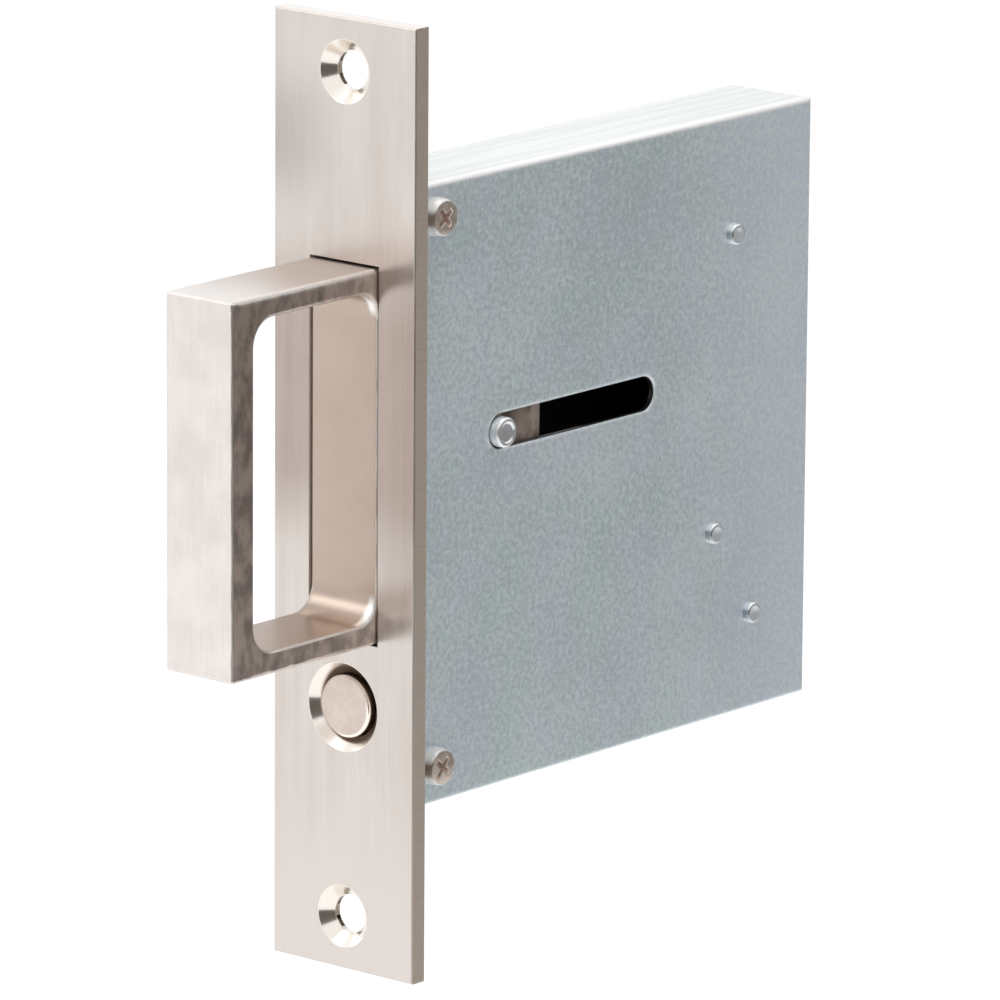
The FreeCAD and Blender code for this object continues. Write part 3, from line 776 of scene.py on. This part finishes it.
def make_rivet(name, material):
    """Post across the case, its ends formed over the sheet with rounded rims and a dished middle."""
    y, z, radius = POSTS[name]
    inside = CASE_HALF - CASE_SHEET
    neck = 0.00155
    end = CASE_HALF + 0.001
    rim = 0.0004
    dish = ((0.00003, 0.00098), (0.0001, 0.0008), (0.00019, 0.0005), (0.00025, 0))
    half = [(inside, radius), (inside, neck)] + rounding(end - rim, neck - rim, rim, 90, 0)
    half += [(end - depth, r) for depth, r in dish]
    profile = [(-x, r) for x, r in reversed(half)] + half
    make_piece("rivet_" + name, turned(0, y, z, profile), material, "case", name)


def make_guide_pin(material):
    """Pin pressed through the tail, with a rounded rim and a shallow flat dish in each end."""
    end = CASE_HALF + 0.00135
    rim = 0.00045
    dish = ((0.00004, 0.00160), (0.00016, 0.00142), (0.00023, 0.00132), (0.00025, 0.0012), (0.00025, 0))
    half = rounding(end - rim, GUIDE_RADIUS - rim, rim, 90, 0)
    half += [(end - depth, r) for depth, r in dish]
    profile = [(-x, r) for x, r in reversed(half)] + half
    shape = turned(0, GUIDE_Y, GUIDE_Z, profile, 96)
    make_piece("guide_pin_turned", shape, material, "pull", "guide_pin")


def make_screw(name, material):
    """Pan-head case screw with a tapered cross recess and a ringed thread."""
    z, turn = SCREWS[name]
    top = CASE_HALF + SCREW_HEAD
    radius = 0.002725
    flat = 0.00235
    dome = 0.0013
    thread = 0.0015
    pitch = 0.0005
    turns = 14
    end = CASE_HALF - 0.0088
    profile = [(end, 0), (end, thread - 0.0004)]
    for i in range(turns):
        profile += [(end + pitch * (i + 0.5), thread - 0.00025), (end + pitch * (i + 1), thread)]
    profile += [(CASE_HALF, thread), (CASE_HALF, radius)]
    steps = 8
    for i in range(steps + 1):
        a = math.pi / 2 * i / steps
        profile.append((top - dome + dome * math.sin(a), flat + (radius - flat) * math.cos(a)))
    profile.append((top, 0))
    shape = turned(0, SCREW_Y, z, profile, 72)
    piece = make_piece("screw_" + name, shape, material, "case", name)
    wide, deep = 0.00172, 0.0011
    narrow, over = 0.00044, 0.0002
    tools = []
    for angle in (turn, turn + 90):
        low = (top - deep, SCREW_Y - wide / 2, SCREW_Y + wide / 2, z - narrow / 2, z + narrow / 2)
        high = (top + over, SCREW_Y - wide, SCREW_Y + wide, z - narrow, z + narrow)
        tools.append(frustum(low, high, angle))
    cut(piece, tools)


def make_button(material):
    """Button with a softly rounded front edge, and the slotted shank that holds the release bar."""
    rim = 0.0004
    front = rounding(BUTTON_FRONT + rim, BUTTON_RADIUS - rim, rim, 180, 90)
    profile = [(BUTTON_FRONT, 0), (BUTTON_FRONT, 0.0022)] + front
    profile += [(BUTTON_BACK, BUTTON_RADIUS), (BUTTON_BACK, SHANK_RADIUS)]
    profile += [(SHANK_BACK, SHANK_RADIUS), (SHANK_BACK, 0)]
    shape = turned(1, 0, BUTTON_Z, profile, 96)
    piece = make_piece("button_turned", shape, material, "button", "button")
    over = 0.001
    tall = BUTTON_RADIUS + over
    face = (TONGUE_FRONT, SHANK_BACK + over, BUTTON_Z - tall, BUTTON_Z + tall)
    slot = frustum((-TONGUE_HALF,) + face, (TONGUE_HALF,) + face)
    across = [(-tall, 0), (-tall, CROSS_PIN_RADIUS), (tall, CROSS_PIN_RADIUS), (tall, 0)]
    bore = turned(0, CROSS_PIN_Y, BUTTON_Z, across, 32)
    cut(piece, [slot, bore])


def wire(points, radius, sides=10):
    """Round wire along a line of points."""
    shape = bmesh.new()
    rings = []
    side = Vector((0, 0, 1))
    for i, point in enumerate(points):
        along = (points[min(i + 1, len(points) - 1)] - points[max(i - 1, 0)]).normalized()
        side = (side - along * side.dot(along)).normalized()
        other = along.cross(side)
        ring = []
        for j in range(sides):
            b = 2 * math.pi * j / sides
            out = side * (radius * math.cos(b)) + other * (radius * math.sin(b))
            ring.append(shape.verts.new(point + out))
        rings.append(ring)
    shape.faces.new(rings[0])
    shape.faces.new(rings[-1])
    for first, second in zip(rings, rings[1:]):
        for j in range(sides):
            k = (j + 1) % sides
            shape.faces.new([first[j], first[k], second[k], second[j]])
    return shape


def make_drive_spring(name, material):
    """Round-wire compression spring with closed flat ends."""
    z = DRIVE_SPRINGS[name]
    thick = 0.00035
    radius = 0.004 - thick
    per_turn = 36
    count = 14 * per_turn
    closed = 0.7
    pitch_share = []
    for i in range(count):
        from_end = min(i, count - i) / per_turn
        t = min(max((from_end - closed + 0.25) / 0.5, 0.0), 1.0)
        pitch_share.append(t * t * (3 - 2 * t))
    low, high = SPRING_FRONT + thick, SPRING_REAR - thick
    rise = (high - low) / sum(pitch_share)
    points = []
    y = low
    for i in range(count + 1):
        a = 2 * math.pi * i / per_turn
        points.append(Vector((radius * math.cos(a), y, z + radius * math.sin(a))))
        y += rise * pitch_share[min(i, count - 1)]
    piece = make_piece("coil_" + name, wire(points, thick), material, "pull", name, 60)
    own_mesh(piece)


def make_latch_spring(material):
    """Torsion spring of the latch. Its standing leg gives way to the pull's tail and clears it at home."""
    thick = 0.0003
    radius = 0.00395
    turns = 3
    per_turn = 24
    first_angle = 250
    last_extra = 40
    first_x = 0.0022
    pitch = 0.00075
    post_y, post_z, _ = POSTS["latch_post"]
    under_arm = Vector((first_x, 0.060258, -0.022496))
    points = [under_arm + Vector((x, 0, 0)) for x in (-0.0031, -0.0006, 0)]
    count = turns * per_turn
    for i in range(count + 1):
        a = math.radians(first_angle - (360 * turns + last_extra) * i / count)
        x = first_x + pitch * i / per_turn
        points.append(Vector((x, post_y + radius * math.cos(a), post_z + radius * math.sin(a))))
    foot = points[-1]
    tip = Vector((foot.x, post_y - 0.0139, post_z + 0.0126))
    coil = wire(points, thick)
    make_piece("latch_spring_coil", coil, material, "latch", "latch_spring", 60)
    leg = wire([foot, foot.lerp(tip, 0.5), tip], thick)
    leg = make_piece("latch_spring_leg", leg, material, "latch", "latch_spring", 60)
    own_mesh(leg)


make_camera()
make_world()
make_floor()
make_wall()
make_lamp("key", (-1.2, -1.6, 1.9), (0, 0.02, 0), (1.4, 1.4), 13)
make_lamp("top", (-0.2, 0.3, 2.0), (0, 0.03, 0), (1.6, 1.6), 13)

plain = steel_finish("plain_steel", rgba(200, 202, 204), rgba(160, 162, 165), 0.30)
springy = steel_finish("spring_steel", rgba(190, 190, 190), rgba(140, 140, 143), 0.25)
screwed = screw_finish()
zinc = zinc_finish()
pinned = pin_finish()
satin_button = button_finish()
satin_plate = satin_plate_finish()
dress(["face_plate"], satin_plate)
dress(["pull"], satin_pull_finish())
dress(["button"], satin_button)
dress(["case_tray", "case_cover"], zinc)
dress([*POSTS, "guide_pin"], pinned)
dress(SCREWS, screwed)
dress([*DRIVE_SPRINGS, "latch_spring", "button_cross_pin"], springy)
dress(["upper_lug", "lower_lug"], plain)
dress(["latch_spacer_near", "latch_spacer_far", "bar_spacer_near", "bar_spacer_far"], plain)
dress(["spring_seat", "upper_spring_rod", "lower_spring_rod", "release_bar", "latch"], plain)

make_plate(satin_plate)
for post in POSTS:
    make_rivet(post, pinned)
make_guide_pin(pinned)
for screw in SCREWS:
    make_screw(screw, screwed)
make_button(satin_button)
for spring in DRIVE_SPRINGS:
    make_drive_spring(spring, springy)
make_latch_spring(springy)
